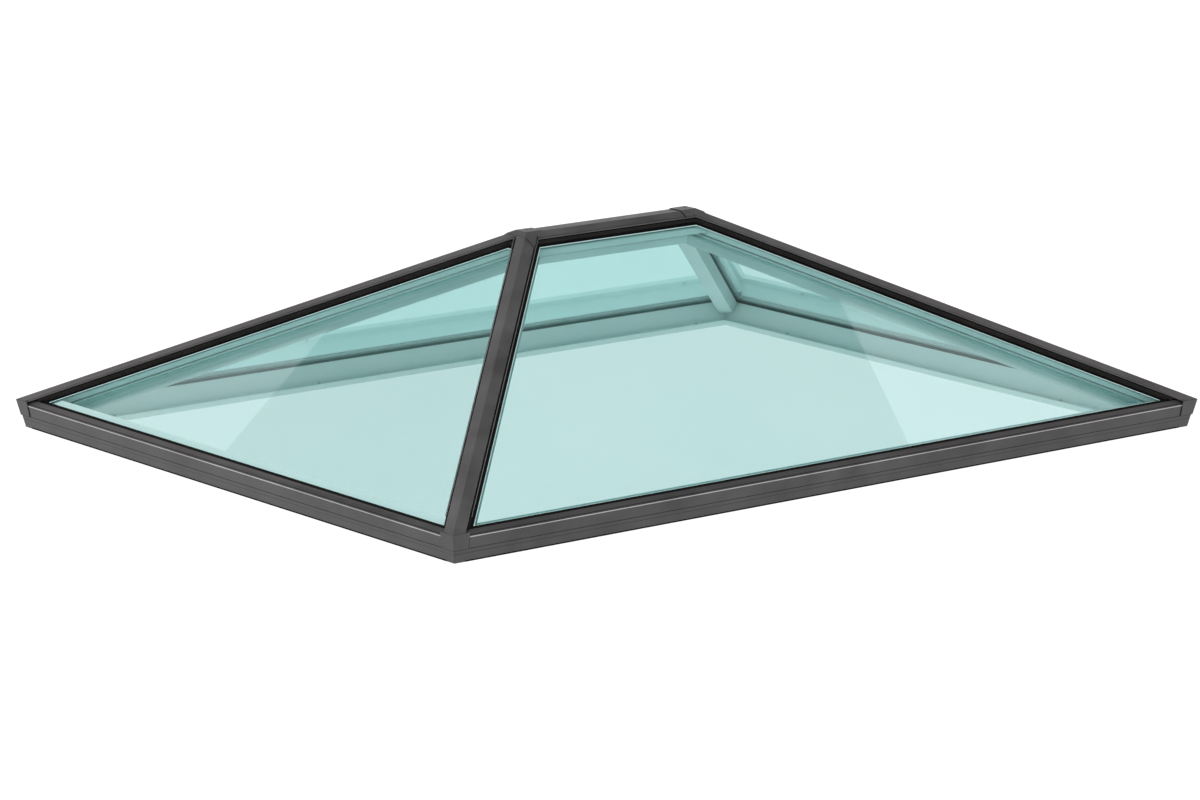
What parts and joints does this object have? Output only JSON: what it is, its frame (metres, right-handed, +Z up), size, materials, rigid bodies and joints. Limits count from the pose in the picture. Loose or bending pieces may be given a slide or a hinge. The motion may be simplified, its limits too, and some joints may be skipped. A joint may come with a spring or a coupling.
{
  "type": "roof lantern",
  "caption": "Hipped glass roof lantern with dark aluminium ring beams, rafters and caps, for lighting a room through an opening in a flat roof.",
  "frame": {"origin": "middle of the underside of the ring beams", "axes": "+X along the ridge, +Y across it towards the back, +Z up"},
  "size_m": [2.5878, 2.0378, 0.5885],
  "materials": {
    "frame": "satin powder coat, dark grey",
    "glass": "clear, teal tint",
    "inner_glass": "clear, teal tint",
    "spacer": "matt dark grey",
    "gasket": "matt black"
  },
  "bodies": {
    "root": {"ring_beam_front": "frame", "ring_beam_right": "frame", "ring_beam_back": "frame", "ring_beam_left": "frame", "eaves_cap_front": "frame", "eaves_cap_right": "frame", "eaves_cap_back": "frame", "eaves_cap_left": "frame", "outer_glass_front": "glass", "outer_glass_right": "glass", "outer_glass_back": "glass", "outer_glass_left": "glass", "inner_glass_front": "inner_glass", "inner_glass_right": "inner_glass", "inner_glass_back": "inner_glass", "inner_glass_left": "inner_glass", "spacer_bar_front": "spacer", "spacer_bar_right": "spacer", "spacer_bar_back": "spacer", "spacer_bar_left": "spacer", "seat_gasket_front": "gasket", "seat_gasket_right": "gasket", "seat_gasket_back": "gasket", "seat_gasket_left": "gasket", "weather_gasket_front": "gasket", "weather_gasket_right": "gasket", "weather_gasket_back": "gasket", "weather_gasket_left": "gasket", "hip_rafter_front_left": "frame", "hip_rafter_front_right": "frame", "hip_rafter_back_right": "frame", "hip_rafter_back_left": "frame", "hip_cap_front_left": "frame", "hip_cap_front_right": "frame", "hip_cap_back_right": "frame", "hip_cap_back_left": "frame", "corner_cover_front_left": "frame", "corner_cover_front_right": "frame", "corner_cover_back_right": "frame", "corner_cover_back_left": "frame", "ridge_beam": "frame", "ridge_cap": "frame", "ridge_end_cover_left": "frame", "ridge_end_cover_right": "frame"}
  },
  "joints": []
}
